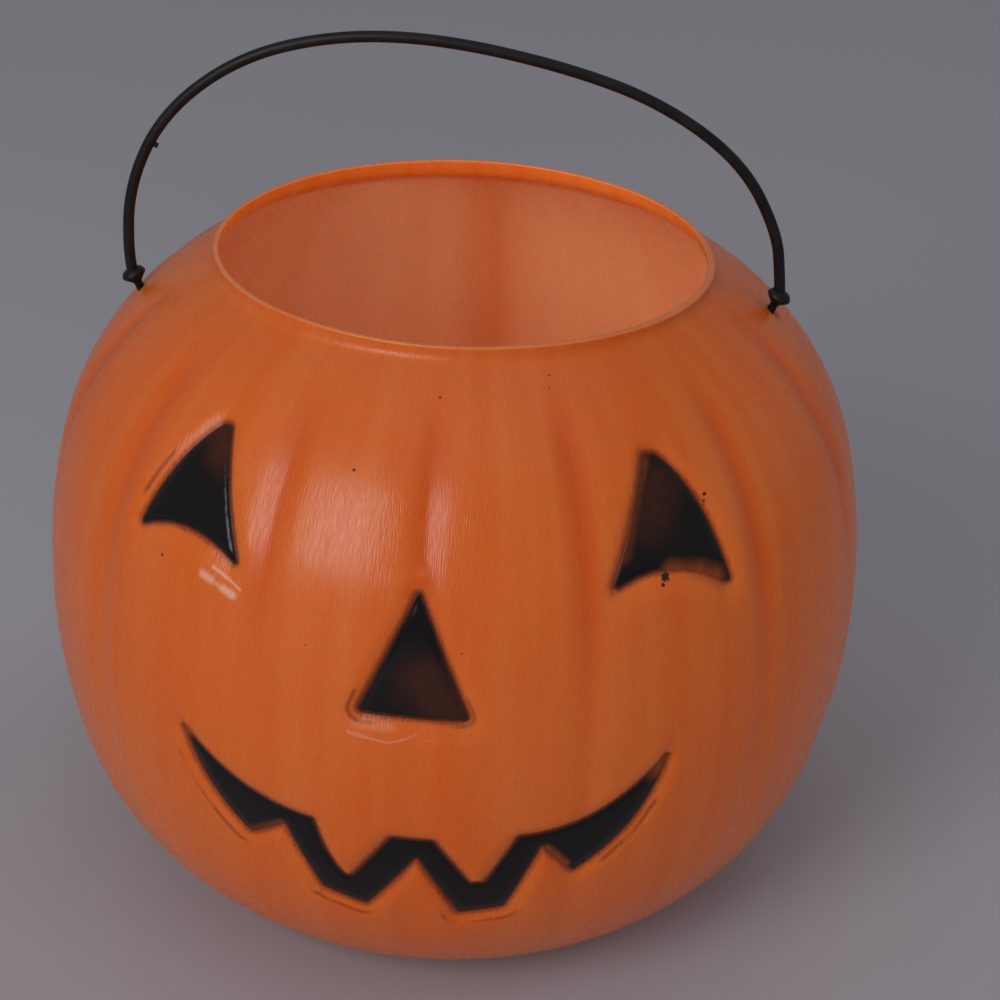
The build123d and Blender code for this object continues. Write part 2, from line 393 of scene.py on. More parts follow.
@dataclass(frozen=True)
class BlackPaint:
    """Glossy sprayed paint that thins to brown at its edges."""

    black: Colour = (0.0050, 0.0034, 0.0034, 1.0)
    brown: Colour = (0.36, 0.068, 0.008, 1.0)
    thin_marks: Tuple[PlacedMark, ...] = ()
    stroke_grains: Triple = (700.0, 700.0, 90.0)
    cloud_grains: Triple = (90.0, 90.0, 60.0)
    fine_grains: Triple = (900.0, 900.0, 900.0)
    stroke_depth: float = 0.00014
    grain_depth: float = 0.00006

    def make(self) -> bpy.types.Material:
        """Builds the material.

        Returns:
            The material.
        """
        finish = Finish("black_paint")
        strokes = finish.noise(self.stroke_grains, 3.0)
        clouds = finish.noise(self.cloud_grains, 2.0)
        grain = finish.noise(self.fine_grains, 1.0)
        depth = finish.attribute("paint_gap") * -1.0 + (strokes - 0.5) * 0.6
        edge = 1.0 - finish.ramp(depth, 0.0, 0.9)
        patches = finish.ramp(clouds * 0.5 + strokes * 0.5, 0.35, 0.60, 0.6, 1.0)
        thin = finish.marked(self.thin_marks, grain, 0.0) * patches
        colour = finish.mix((edge * 0.3).most(thin), self.black, self.brown)
        normal = finish.bump(strokes, 0.50, self.stroke_depth)
        return finish.surface(
            {
                "Base Color": colour,
                "Roughness": 0.08 + strokes * 0.14,
                "Normal": finish.bump(grain, 0.10, self.grain_depth, normal),
                "IOR": 1.5,
                "Specular IOR Level": 0.3,
            }
        )


@dataclass(frozen=True)
class BlackPlastic:
    """Moulded black plastic with a faint grain."""

    dark: Colour = (0.0040, 0.0040, 0.0050, 1.0)
    worn: Colour = (0.010, 0.010, 0.012, 1.0)
    cloud_grains: Triple = (220.0, 220.0, 220.0)
    fine_grains: Triple = (1600.0, 1600.0, 1600.0)
    grain_depth: float = 0.00005

    def make(self) -> bpy.types.Material:
        """Builds the material.

        Returns:
            The material.
        """
        finish = Finish("black_plastic")
        clouds = finish.noise(self.cloud_grains, 3.0)
        grain = finish.noise(self.fine_grains, 2.0)
        colour = finish.mix(finish.ramp(clouds, 0.4, 0.75), self.dark, self.worn)
        return finish.surface(
            {
                "Base Color": colour,
                "Roughness": 0.38 + clouds * 0.16,
                "Normal": finish.bump(grain, 0.20, self.grain_depth),
                "IOR": 1.5,
                "Specular IOR Level": 0.3,
            }
        )


@dataclass
class Meridian:
    """Outer skin in the upright plane through the axis, from the middle of the base to the rim."""

    belly_radius: float = 109.95
    belly_height: float = 87.3
    side_arc_radius: float = 161.0
    side_arc_angle: float = 14.0
    shoulder_arc_radius: float = 73.0
    base_edge_angle: float = 64.0
    base_edge_radius: float = 9.0
    base_dish_radius: float = 48.0
    base_dish_depth: float = 2.5
    lip_radius: float = 64.8
    lip_fillet_radius: float = 3.0
    lip_straight_height: float = 1.7
    step: float = 0.2

    def __post_init__(self) -> None:
        """Joins the arcs and measures along them."""
        turn = radians(self.side_arc_angle)
        side = np.array((self.belly_radius - self.side_arc_radius, self.belly_height))
        inset = self.side_arc_radius - self.shoulder_arc_radius
        self.shoulder = side + inset * np.array((cos(turn), sin(turn)))
        rise = self.belly_height - self.side_arc_radius * sin(turn)
        lower_radius = rise / (sin(radians(self.base_edge_angle)) - sin(turn))
        lower = side + (self.side_arc_radius - lower_radius) * np.array((cos(turn), -sin(turn)))
        drop = lower[1] - self.base_edge_radius
        edge_x = lower[0] + sqrt((lower_radius - self.base_edge_radius) ** 2 - drop**2)
        edge = np.array((edge_x, self.base_edge_radius))
        edge_meeting = degrees(atan2(edge[1] - lower[1], edge[0] - lower[0]))
        fillet_x = self.lip_radius + self.lip_fillet_radius
        reach = self.shoulder_arc_radius + self.lip_fillet_radius
        climb = sqrt(reach**2 - (fillet_x - self.shoulder[0]) ** 2)
        fillet = np.array((fillet_x, self.shoulder[1] + climb))
        lip_meeting = degrees(atan2(fillet[1] - self.shoulder[1], fillet[0] - self.shoulder[0]))
        self.rim_height = fillet[1] + self.lip_straight_height
        dish_radius = (self.base_dish_radius**2 + self.base_dish_depth**2) / (2 * self.base_dish_depth)
        dish = np.array((0.0, self.base_dish_depth - dish_radius))
        dish_turn = degrees(asin(self.base_dish_radius / dish_radius))
        runs = [
            self._arc(dish, dish_radius, 90.0, 90.0 - dish_turn, -1.0),
            self._line((self.base_dish_radius, 0.0), (edge_x, 0.0), (0.0, -1.0)),
            self._arc(edge, self.base_edge_radius, -90.0, edge_meeting),
            self._arc(lower, lower_radius, edge_meeting, -self.side_arc_angle),
            self._arc(side, self.side_arc_radius, -self.side_arc_angle, self.side_arc_angle),
            self._arc(self.shoulder, self.shoulder_arc_radius, self.side_arc_angle, lip_meeting),
            self._arc(fillet, self.lip_fillet_radius, 180.0 + lip_meeting, 180.0, -1.0),
            self._line((self.lip_radius, fillet[1]), (self.lip_radius, self.rim_height), (1.0, 0.0)),
        ]
        self.points = np.vstack([run[0] for run in runs])
        self.outwards = np.vstack([run[1] for run in runs])
        steps = np.hypot(*np.diff(self.points, axis=0).T)
        self.along = np.concatenate([[0.0], np.cumsum(steps)])
        self.length = float(self.along[-1])
        self.base_end = float(self.along[len(runs[0][0]) + len(runs[1][0])])

    def _arc(
        self, centre: np.ndarray, radius: float, start: float, end: float, facing: float = 1.0
    ) -> Tuple[np.ndarray, np.ndarray]:
        """Points and outward ways of an arc between two angles."""
        count = max(3, int(abs(radians(end - start)) * radius / self.step))
        angles = np.radians(np.linspace(start, end, count))
        ways = np.column_stack([np.cos(angles), np.sin(angles)])
        return centre + radius * ways, facing * ways

    def _line(self, start: Point, end: Point, outwards: Point) -> Tuple[np.ndarray, np.ndarray]:
        """Points and outward ways of a straight run."""
        points = np.linspace(start, end, 12)
        return points, np.tile(outwards, (len(points), 1))

    def at(self, along: np.ndarray) -> Tuple[np.ndarray, np.ndarray]:
        """Places and outward ways in the upright plane at distances along the skin."""
        columns = [np.interp(along, self.along, column) for column in (*self.points.T, *self.outwards.T)]
        return np.column_stack(columns[:2]), np.column_stack(columns[2:])

    def along_of(self, height: Any) -> Any:
        """Distance along the skin at a height above the base edge."""
        wall = self.along >= self.base_end
        return np.interp(height, self.points[wall, 1], self.along[wall])


def curve_through(start: Point, middle: Point, end: Point, count: int = 24) -> List[Point]:
    """Points of a parabola from start, through a middle point, up to end, which is left out."""
    first, second, third = (np.array(each) for each in (start, middle, end))
    control = 2.0 * second - (first + third) / 2.0
    share = np.linspace(0.0, 1.0, count, endpoint=False)[:, None]
    points = (1 - share) ** 2 * first + 2 * share * (1 - share) * control + share**2 * third
    return [tuple(each) for each in points]


def line_distance(places: np.ndarray, line: np.ndarray) -> np.ndarray:
    """Distance of places from an open line of points."""
    nearest = np.full(len(places), np.inf)
    for first, second in zip(line, line[1:]):
        run = second - first
        share = np.clip((places - first) @ run / (run @ run), 0.0, 1.0)
        nearest = np.minimum(nearest, np.hypot(*(places - first - share[:, None] * run).T))
    return nearest


@dataclass
class Eye:
    """Key points of one eye from its blunt top down the nose side and back up the outer side."""

    top: Point
    bow: Point
    inner: Point
    inner_end: Point
    arch: Point
    outer_end: Point
    outer: Point
    side: Point
    top_end: Point

    def outline(self) -> List[Point]:
        """Closed outline of the eye in the front view."""
        edge = curve_through(self.top, self.bow, self.inner) + [self.inner]
        edge += curve_through(self.inner_end, self.arch, self.outer_end) + [self.outer_end]
        return edge + curve_through(self.outer, self.side, self.top_end) + [self.top_end]


@dataclass
class Face:
    """Painted areas as seen from the front: distance from the middle, and height above the table."""

    left_eye: Eye = field(
        default_factory=lambda: Eye(
            top=(-48.7, 158.8),
            bow=(-47.8, 147.0),
            inner=(-44.6, 132.8),
            inner_end=(-45.6, 132.0),
            arch=(-58.0, 136.1),
            outer_end=(-70.9, 131.7),
            outer=(-71.7, 132.2),
            side=(-62.5, 147.7),
            top_end=(-51.0, 158.6),
        )
    )
    right_eye: Eye = field(
        default_factory=lambda: Eye(
            top=(48.6, 158.5),
            bow=(47.0, 145.3),
            inner=(43.8, 133.1),
            inner_end=(45.2, 132.3),
            arch=(57.5, 134.3),
            outer_end=(70.8, 127.4),
            outer=(72.4, 127.3),
            side=(63.2, 146.2),
            top_end=(51.4, 158.2),
        )
    )
    nose_top_left: Point = (-1.2, 134.0)
    nose_top_right: Point = (-0.1, 133.8)
    nose_right: Point = (12.4, 104.0)
    nose_right_end: Point = (11.6, 102.9)
    nose_left_end: Point = (-13.6, 103.4)
    nose_left: Point = (-14.6, 104.4)
    mouth_left: Point = (-59.3, 86.4)
    mouth_left_bend: Point = (-43.3, 75.3)
    mouth_left_tooth: Point = (-25.0, 70.4)
    left_tooth_side: Point = (-21.5, 59.8)
    left_tooth_tip: Point = (-17.3, 52.9)
    left_tooth_end: Point = (-15.7, 53.0)
    mouth_middle_left: Point = (-6.0, 68.2)
    mouth_middle_right: Point = (4.7, 67.9)
    right_tooth_tip: Point = (13.7, 53.5)
    right_tooth_end: Point = (17.2, 53.7)
    mouth_right_tooth: Point = (25.2, 69.2)
    mouth_right_bend: Point = (44.0, 73.9)
    mouth_right: Point = (60.2, 87.4)
    lower_right_bend: Point = (52.8, 69.2)
    lower_right_tip: Point = (38.7, 54.9)
    lower_right_notch: Point = (30.9, 65.3)
    lower_right_leg: Point = (22.2, 43.9)
    lower_right_foot: Point = (10.9, 41.7)
    lower_middle: Point = (0.6, 61.7)
    lower_left_foot: Point = (-12.0, 42.6)
    lower_left_leg: Point = (-23.3, 46.6)
    lower_left_notch: Point = (-32.5, 66.2)
    lower_left_tip: Point = (-41.4, 59.7)
    lower_left_bend: Point = (-51.8, 71.3)
    specks: Tuple[Speck, ...] = (
        (0.6, 169.8, 0.38),
        (-17.6, 156.5, 0.38),
        (63.6, 148.0, 0.5),
        (63.8, 146.7, 0.38),
        (55.8, 133.1, 1.3),
        (55.2, 131.6, 0.6),
        (-63.9, 127.9, 0.4),
        (-26.7, 118.5, 0.24),
        (9.8, 120.6, 0.24),
        (-31.9, 168.8, 0.22),
        (25.2, 172.6, 0.28),
        (25.5, 170.9, 0.24),
    )
    strays: Tuple[Tuple[Point, ...], ...] = (
        ((-69.2, 140.5), (-66.5, 144.8), (-63.8, 148.6)),
        ((-15.7, 108.0), (-16.7, 104.0), (-15.6, 102.6), (-12.0, 102.5)),
        ((12.2, 107.3), (13.7, 104.5), (12.8, 102.7), (8.5, 102.3)),
        ((-58.3, 77.3), (-54.1, 69.7), (-48.6, 61.7), (-43.5, 57.2)),
        ((-30.4, 47.8), (-22.2, 44.8), (-12.2, 40.2)),
        ((-31.1, 61.5), (-23.8, 50.2)),
        ((56.8, 72.5), (52.3, 65.8), (46.7, 59.0)),
        ((7.6, 41.1), (23.9, 41.7)),
    )
    # Painted highlights under the left eye and the nose, where the window glints on the lower recess lips:
    # ends, reach and share.
    glint_strokes: Tuple[Mark, ...] = (
        ((-52.8, 128.0), (-50.6, 127.3), 1.8, 0.5),
        ((-50.6, 127.3), (-47.4, 126.3), 1.2, 0.3),
        ((-47.4, 126.3), (-44.9, 125.5), 1.7, 0.6),
        ((-50.3, 130.3), (-46.7, 129.0), 0.8, 0.45),
        ((-46.7, 129.0), (-43.1, 127.3), 0.75, 0.4),
        ((-16.1, 98.6), (-11.4, 97.6), 0.8, 0.22),
        ((-11.4, 97.6), (-6.5, 97.0), 0.55, 0.26),
        ((-6.5, 97.0), (-2.8, 98.0), 0.5, 0.26),
        ((-2.8, 98.0), (0.2, 99.4), 0.4, 0.18),
        ((2.7, 98.1), (15.4, 98.2), 0.4, 0.14),
        ((-14.6, 100.5), (-6.0, 100.6), 1.8, 0.14),
    )
    thin_paint: Tuple[Mark, ...] = (
        ((-49.4, 158.0), (-49.2, 154.0), 10.0, 0.16),
        ((48.4, 158.0), (45.6, 140.0), 3.6, 0.4),
        ((53.0, 152.0), (52.0, 146.0), 10.0, 0.13),
        ((57.5, 133.6), (64.0, 131.8), 4.6, 1.0),
        ((64.0, 131.8), (68.6, 129.0), 4.6, 1.0),
        ((2.0, 112.0), (7.0, 107.0), 12.0, 0.13),
        ((58.4, 84.6), (60.2, 87.4), 7.0, 1.0),
        ((32.2, 63.9), (36.6, 58.0), 2.3, 0.9),
        ((-41.0, 60.4), (-33.5, 65.6), 2.4, 0.5),
        ((-57.9, 84.9), (-59.3, 86.4), 3.5, 0.9),
    )

    def outline(self, part: FacePart) -> List[Point]:
        """Corners and curve points of one painted area.

        Args:
            part: Which area.

        Returns:
            Its closed outline in the front view.
        """
        if part is FacePart.LEFT_EYE:
            return self.left_eye.outline()
        if part is FacePart.RIGHT_EYE:
            return self.right_eye.outline()
        if part is FacePart.NOSE:
            right_side = [self.nose_top_right, self.nose_right, self.nose_right_end]
            return right_side + [self.nose_left_end, self.nose_left, self.nose_top_left]
        upper = curve_through(self.mouth_left, self.mouth_left_bend, self.mouth_left_tooth)
        upper += curve_through(self.mouth_left_tooth, self.left_tooth_side, self.left_tooth_tip)
        upper += [self.left_tooth_tip, self.left_tooth_end, self.mouth_middle_left]
        upper += [self.mouth_middle_right, self.right_tooth_tip, self.right_tooth_end]
        upper += curve_through(self.mouth_right_tooth, self.mouth_right_bend, self.mouth_right)
        lower = curve_through(self.mouth_right, self.lower_right_bend, self.lower_right_tip)
        lower += [self.lower_right_tip, self.lower_right_notch, self.lower_right_leg, self.lower_right_foot]
        lower += [self.lower_middle, self.lower_left_foot, self.lower_left_leg, self.lower_left_notch]
        return upper + lower + curve_through(self.lower_left_tip, self.lower_left_bend, self.mouth_left)


class Loop:
    """Closed outline on the flattened skin, evenly divided and turned anticlockwise."""

    def __init__(self, points: np.ndarray, step: float, softness: int) -> None:
        """Divides and softens an outline.

        Args:
            points: Its corners and curve points.
            step: Distance between its new points.
            softness: How often its corners are eased.
        """
        area = np.sum(points[:, 0] * np.roll(points[:, 1], -1) - points[:, 1] * np.roll(points[:, 0], -1))
        fine = self._divide(points if area > 0 else points[::-1], step / 2)
        for _ in range(softness):
            fine = (np.roll(fine, 1, axis=0) + 2 * fine + np.roll(fine, -1, axis=0)) / 4
        self.points = self._divide(fine, step)
        ways = np.roll(self.points, -1, axis=0) - np.roll(self.points, 1, axis=0)
        self.outwards = np.column_stack([ways[:, 1], -ways[:, 0]]) / np.hypot(*ways.T)[:, None]

    @staticmethod
    def _divide(points: np.ndarray, step: float) -> np.ndarray:
        """Points at even distances along a closed outline."""
        closed = np.vstack([points, points[:1]])
        along = np.concatenate([[0.0], np.cumsum(np.hypot(*np.diff(closed, axis=0).T))])
        places = np.linspace(0.0, along[-1], int(along[-1] / step), endpoint=False)
        return np.column_stack([np.interp(places, along, column) for column in closed.T])

    def gaps(self, places: np.ndarray, reach: float) -> Tuple[np.ndarray, np.ndarray]:
        """Distance to the outline, below 0 inside it, and the way outwards.

        Args:
            places: Points of the flattened skin.
            reach: Distance at which measuring stops.

        Returns:
            The distances and the ways.
        """
        gaps = np.full(len(places), reach)
        ways = np.zeros_like(places)
        low = self.points.min(axis=0) - reach
        high = self.points.max(axis=0) + reach
        near = np.where(np.all((places > low) & (places < high), axis=1))[0]
        first, second = self.points, np.roll(self.points, -1, axis=0)
        run = second - first
        for part in np.array_split(near, max(1, len(near) // 2000)):
            away = places[part][:, None, :] - first[None]
            share = np.clip(np.sum(away * run, axis=2) / np.sum(run * run, axis=1), 0.0, 1.0)
            apart = away - share[:, :, None] * run
            length = np.hypot(apart[..., 0], apart[..., 1])
            best = length.argmin(axis=1)
            row = np.arange(len(part))
            rising = (first[:, 1] > places[part][:, 1:]) != (second[:, 1] > places[part][:, 1:])
            steep = np.where(run[:, 1] == 0, 1e-9, run[:, 1])
            crossing = first[:, 0] + (places[part][:, 1:] - first[:, 1]) * run[:, 0] / steep
            inside = np.sum(rising & (places[part][:, :1] < crossing), axis=1) % 2 == 1
            sign = np.where(inside, -1.0, 1.0)
            nearest = length[row, best]
            gaps[part] = np.minimum(sign * nearest, reach)
            ways[part] = sign[:, None] * apart[row, best] / np.maximum(nearest, 1e-6)[:, None]
        return gaps, ways

    def rings(self, distances: Sequence[float]) -> np.ndarray:
        """Points of parallel outlines at distances from this one, where they keep that distance."""
        found = []
        for distance in distances:
            ring = self.points + self.outwards * distance
            measured, _ = self.gaps(ring, 20.0)
            found.append(ring[np.abs(measured - distance) < 0.1])
        return np.vstack(found)


@dataclass
class Hole:
    """Round hole of the shoulder in which one neck of the bail rocks."""

    side: int
    height: float
    radius: float = 2.5
    neck_angle: float = 66.0

    def centre(self, skin: Meridian, wall: float) -> Vector:
        """Middle of the hole in the middle of the wall."""
        reach = skin.shoulder_arc_radius - wall / 2
        away = skin.shoulder[0] + sqrt(reach**2 - (self.height - skin.shoulder[1]) ** 2)
        return Vector((self.side * away, 0.0, self.height))

    def neck(self) -> Vector:
        """Way of the neck out of the hole."""
        lean = radians(self.neck_angle)
        return Vector((self.side * cos(lean), 0.0, sin(lean)))


@dataclass
class PailShell:
    """One moulded shell with lobes, grooves, a recessed face, a trimmed lip and two punched holes."""

    skin: Meridian
    face: Face
    holes: List[Hole]
    wall: float = 1.3
    groove_angles: Tuple[float, ...] = (0.0, 21.5, 49.0, 75.0, 105.0, 131.0, 158.5, 180.0)
    groove_depth: float = 0.95
    groove_half_width: float = 5.6
    groove_roundness: float = 0.5
    groove_fade: Tuple[float, float, float, float] = (14.0, 40.0, 158.0, 173.0)
    groove_low_share: float = 0.5
    groove_swell: Tuple[float, float] = (85.0, 140.0)
    recess_depth: float = 1.6
    recess_slope: float = 4.0
    recess_roundness: float = 1.6
    eye_lower_slope: float = 3.0
    nose_lower_slope: float = 1.6
    groove_sharpness: float = 1.15
    rim_roundness: float = 0.45
    rim_trim: float = 0.35
    rim_trim_reach: float = 4.0
    rim_low_side: float = 1.2
    rim_low_angle: float = 85.0
    rim_low_spread: float = 40.0
    rim_swell: float = 0.9
    rim_swell_angle: float = 70.0
    rim_swell_spread: float = 45.0
    rim_swell_reach: Tuple[float, float] = (16.0, 3.0)
    lip_reach: Tuple[float, float] = (15.0, 5.0)
    # Shares of the paler inside colour, which is partly painted light, on the cut edge and the inner wall.
    cut_edge_paleness: float = 0.2
    inner_bands: Tuple[Triple, ...] = ((-160.0, 15.0, 0.3), (180.0, 6.0, -0.3), (-180.0, 6.0, -0.3))
    inner_paleness: float = 0.75
    flat_radius: float = 100.0
    outline_step: float = 0.7
    gap_reach: float = 12.0
    inner_rings: Tuple[float, ...] = (-2.8, -2.3, -1.9, -1.5, -1.1, -0.7, -0.3)
    outer_rings: Tuple[float, ...] = (0.35, 0.8, 1.3, 1.8, 2.3, 2.8, 3.3, 4.0, 4.9, 5.9, 6.9)
    groove_columns: Tuple[float, ...] = (-7.0, -5.2, -3.6, -2.2, -1.1, 0.0, 1.1, 2.2, 3.6, 5.2, 7.0)
    column_step: float = 6.0
    base_rows: int = 9
    wall_rows: Tuple[Tuple[float, int], ...] = ((12.0, 9), (40.0, 9), (166.0, 64), (174.0, 6))
    lip_rows: int = 14
    grid_clearance: Tuple[float, float] = (-3.4, 7.6)
    hole_clearance: float = 2.4
    hole_points: int = 32
    hole_ring_growths: Tuple[float, ...] = (1.25, 1.7)
    rim_rounding: Tuple[Point, ...] = ((0.06, 0.7), (0.24, 1.0), (0.76, 1.0), (0.94, 0.7))
    stray_reach: float = 5.0
    stray_fade: Tuple[float, float] = (1.0, 3.0)
    loops: Dict[FacePart, Loop] = field(default_factory=dict)

    def build(self) -> bpy.types.Object:
        """Makes the shell's mesh.

        Returns:
            The piece, with its paint numbers at its points.
        """
        for part in FacePart:
            self.loops[part] = Loop(self.flatten(self.face.outline(part)), self.outline_step, 2)
        self._triangulate()
        outer = self.place(self.flat, 0.0)
        inner = self.place(self.flat, -self._thickness(self.flat))
        count = len(outer)
        faces = [tuple(each) for each in self.faces]
        faces += [(third + count, second + count, first + count) for first, second, third in self.faces]
        for ring in self.hole_rings:
            for first, second in zip(ring, np.roll(ring, -1)):
                faces.append((first, second, second + count, first + count))
        points, rim_faces = self._rim(outer, inner)
        faces += rim_faces
        piece = make_piece("shell", points, faces)
        extra = np.full(len(points) - count, self.gap_reach)
        carry(piece, "paint_gap", np.concatenate([self.gap, extra]))
        carry(piece, "line_gap", np.concatenate([self.line_gap, extra]))
        carry(piece, "ghost", np.concatenate([self.ghost, extra * 0.0]))
        carry(piece, "stain", np.concatenate([self.stain, extra * 0.0]))
        # Painted shade of the upper grooves, carried as the groove number.
        groove_shading = self._groove(self.flat) * self._swell(self.flat)
        carry(piece, "groove", np.concatenate([groove_shading, extra * 0.0]))
        along = self.flat[:, 1]
        rim_along = np.full(len(points) - 2 * count, self.skin.length)
        carry(piece, "along", np.concatenate([along, along, rim_along]) * MM)
        cut_edge = np.full(len(points) - 2 * count, self.cut_edge_paleness)
        # How much of the paler, partly painted-light inside colour each point gets.
        carry(piece, "inside", np.concatenate([np.zeros(count), self._paleness(), cut_edge]))
        return piece

    def _paleness(self) -> np.ndarray:
        """How pale the inner wall is at each point, with upright bands and a deep orange lip: partly
        whitish plastic, partly painted light for light that comes through the wall.
        """
        angle = np.degrees(self.flat[:, 0] / self.flat_radius)
        pale = np.full(len(angle), self.inner_paleness)
        for middle, width, change in self.inner_bands:
            pale += change * np.exp(-(((angle - middle) / width) ** 2))
        start, end = (self.skin.length - each for each in self.lip_reach)
        return pale * (1.0 - smooth_step(self.flat[:, 1], start, end))

    def flatten(self, outline: Sequence[Point]) -> np.ndarray:
        """Front view points as places on the flattened skin: around the axis, along the meridian."""
        away, height = np.array(outline, float).T
        along = self.skin.along_of(height)
        places, _ = self.skin.at(along)
        return np.column_stack([np.arcsin(away / places[:, 0]) * self.flat_radius, along])

    def place(self, flat: np.ndarray, lift: Any) -> np.ndarray:
        """Places in space of points of the flattened skin, lifted off the moulded surface.

        Args:
            flat: Points of the flattened skin.
            lift: Distance above the surface, one or one per point.

        Returns:
            The places.
        """
        across, ways = self.skin.at(flat[:, 1])
        move = lift - self._depth(flat)
        away = across[:, 0] + ways[:, 0] * move
        angle = flat[:, 0] / self.flat_radius
        height = across[:, 1] + ways[:, 1] * move - self._trim(flat)
        return np.column_stack([away * np.sin(angle), -away * np.cos(angle), height])

    def _gap_of(self, flat: np.ndarray) -> Tuple[np.ndarray, np.ndarray, np.ndarray]:
        """Distance to the nearest painted area, the way from it and its number."""
        gaps = np.full(len(flat), self.gap_reach)
        ways = np.zeros_like(flat)
        owner = np.full(len(flat), -1)
        for number, part in enumerate(FacePart):
            found, outwards = self.loops[part].gaps(flat, self.gap_reach)
            closer = found < gaps
            gaps[closer] = found[closer]
            ways[closer] = outwards[closer]
            owner[closer] = number
        return gaps, ways, owner

    def _groove(self, flat: np.ndarray) -> np.ndarray:
        """Share of the full groove depth."""
        across, _ = self.skin.at(flat[:, 1])
        angle = np.abs(np.degrees(flat[:, 0] / self.flat_radius))
        depth = np.zeros(len(flat))
        for groove in self.groove_angles:
            beside = np.radians(angle - groove) * across[:, 0]
            eased = np.sqrt(beside**2 + self.groove_roundness**2) - self.groove_roundness
            share = np.clip(1.0 - eased / self.groove_half_width, 0.0, 1.0)
            depth = np.maximum(depth, share**self.groove_sharpness)
        low, full_low, full_high, high = (self.skin.along_of(each) for each in self.groove_fade)
        depth *= self.groove_low_share + (1.0 - self.groove_low_share) * self._swell(flat)
        depth *= 1.0 - smooth_step(flat[:, 1], full_high, high)
        return depth * smooth_step(flat[:, 1], low, full_low)

    def _swell(self, flat: np.ndarray) -> np.ndarray:
        """Share of the way from the shallow lower grooves to the full upper ones."""
        return smooth_step(flat[:, 1], *(self.skin.along_of(each) for each in self.groove_swell))

    def _depth(self, flat: np.ndarray) -> np.ndarray:
        """Depth of grooves and recesses below the plain skin."""
        gaps, ways, owner = self._gap_of(flat)
        spread = np.array((self.eye_lower_slope, self.eye_lower_slope, self.nose_lower_slope, 0.0, 0.0))
        slope = self.recess_slope + spread[owner] * np.clip(-ways[:, 1], 0.0, 1.0) ** 2
        share = np.clip(gaps / slope, 0.0, 1.0)
        recess = (1.0 - share) ** self.recess_roundness
        return self.groove_depth * self._groove(flat) * (1.0 - recess) + self.recess_depth * recess

    def _trim(self, flat: np.ndarray) -> np.ndarray:
        """How far the hand-trimmed rim lies below its full height."""
        angle = flat[:, 0] / self.flat_radius
        wave = 0.5 + 0.3 * np.sin(3 * angle + 0.8) + 0.2 * np.sin(7 * angle + 2.1)
        beside = angle - radians(self.rim_low_angle)
        low_side = np.exp(-((beside / radians(self.rim_low_spread)) ** 2))
        near_rim = smooth_step(flat[:, 1], self.skin.length - self.rim_trim_reach, self.skin.length)
        return (self.rim_trim * wave + self.rim_low_side * low_side) * near_rim

    def _thickness(self, flat: np.ndarray) -> np.ndarray:
        """Wall thickness, which swells at the rim on the right."""
        beside = flat[:, 0] / self.flat_radius - radians(self.rim_swell_angle)
        swell = np.exp(-((beside / radians(self.rim_swell_spread)) ** 2))
        start, end = (self.skin.length - each for each in self.rim_swell_reach)
        return self.wall + self.rim_swell * swell * smooth_step(flat[:, 1], start, end)

    def _columns(self) -> np.ndarray:
        """Angles of the mesh columns, close together in the grooves."""
        angles = []
        grooves = sorted({side * each for each in self.groove_angles for side in (-1, 1)})
        for groove in grooves:
            angles += [groove + degrees(each / self.skin.belly_radius) for each in self.groove_columns]
        edge = degrees(self.groove_columns[-1] / self.skin.belly_radius)
        for first, second in zip(grooves, grooves[1:]):
            start, end = first + edge, second - edge
            count = int(radians(end - start) * self.skin.belly_radius / self.column_step) + 1
            angles += list(np.linspace(start, end, count + 1)[1:-1])
        inside = np.array([each for each in angles if -180.0 < each < 180.0])
        return np.radians(np.unique(np.concatenate([inside, [-180.0, 180.0]]).round(6)))

    def _rows(self) -> np.ndarray:
        """Distances of the mesh rows along the meridian, close together at edges and in the face."""
        start = self.skin.base_end
        runs = [np.linspace(0.0, start, self.base_rows)]
        for height, count in self.wall_rows:
            end = self.skin.along_of(height)
            runs.append(np.linspace(start, end, count))
            start = end
        runs.append(np.linspace(start, self.skin.length - self.rim_roundness, self.lip_rows))
        return np.unique(np.concatenate(runs).round(6))

    def _triangulate(self) -> None:
        """Joins a grid, the outlines with their rings, and the holes into one sheet of triangles."""
        columns = self._columns() * self.flat_radius
        rows = self._rows()
        grid = np.array([(across, along) for along in rows for across in columns])
        gaps, _, _ = self._gap_of(grid)
        within, beyond = self.grid_clearance
        keep = (gaps < within) | (gaps > beyond)
        rims = []
        for hole in self.holes:
            middle = np.array((hole.side * pi / 2 * self.flat_radius, self.skin.along_of(hole.height)))
            across, _ = self.skin.at(middle[1:])
            stretch = np.array((self.flat_radius / across[0, 0], 1.0))
            keep &= np.hypot(*((grid - middle) / stretch).T) > hole.radius * self.hole_clearance
            turns = np.linspace(0.0, 2 * pi, self.hole_points, endpoint=False)
            circle = np.column_stack([np.cos(turns), np.sin(turns)]) * stretch
            rims.append((middle, stretch, circle, hole.radius))
        sets = [grid[keep]]
        edges: List[Tuple[int, int]] = []
        count = len(sets[0])
        for loop in self.loops.values():
            numbers = count + np.arange(len(loop.points))
            edges += list(zip(numbers.tolist(), np.roll(numbers, -1).tolist()))
            sets.append(loop.points)
            count += len(loop.points)
        hole_starts = []
        for middle, _, circle, radius in rims:
            numbers = count + np.arange(len(circle))
            hole_starts.append(numbers)
            edges += list(zip(numbers.tolist(), np.roll(numbers, -1).tolist()))
            sets.append(middle + circle * radius)
            count += len(circle)
        sets += [loop.rings(self.inner_rings + self.outer_rings) for loop in self.loops.values()]
        for middle, _, circle, radius in rims:
            sets += [middle + circle * radius * grow for grow in self.hole_ring_growths]
        flat = np.vstack(sets)
        made = delaunay_2d_cdt([Vector(each) for each in flat.tolist()], edges, [], 0, 1e-6, True)
        self.flat = np.array([tuple(each) for each in made[0]])
        new_number = {old: new for new, olds in enumerate(made[3]) for old in olds}
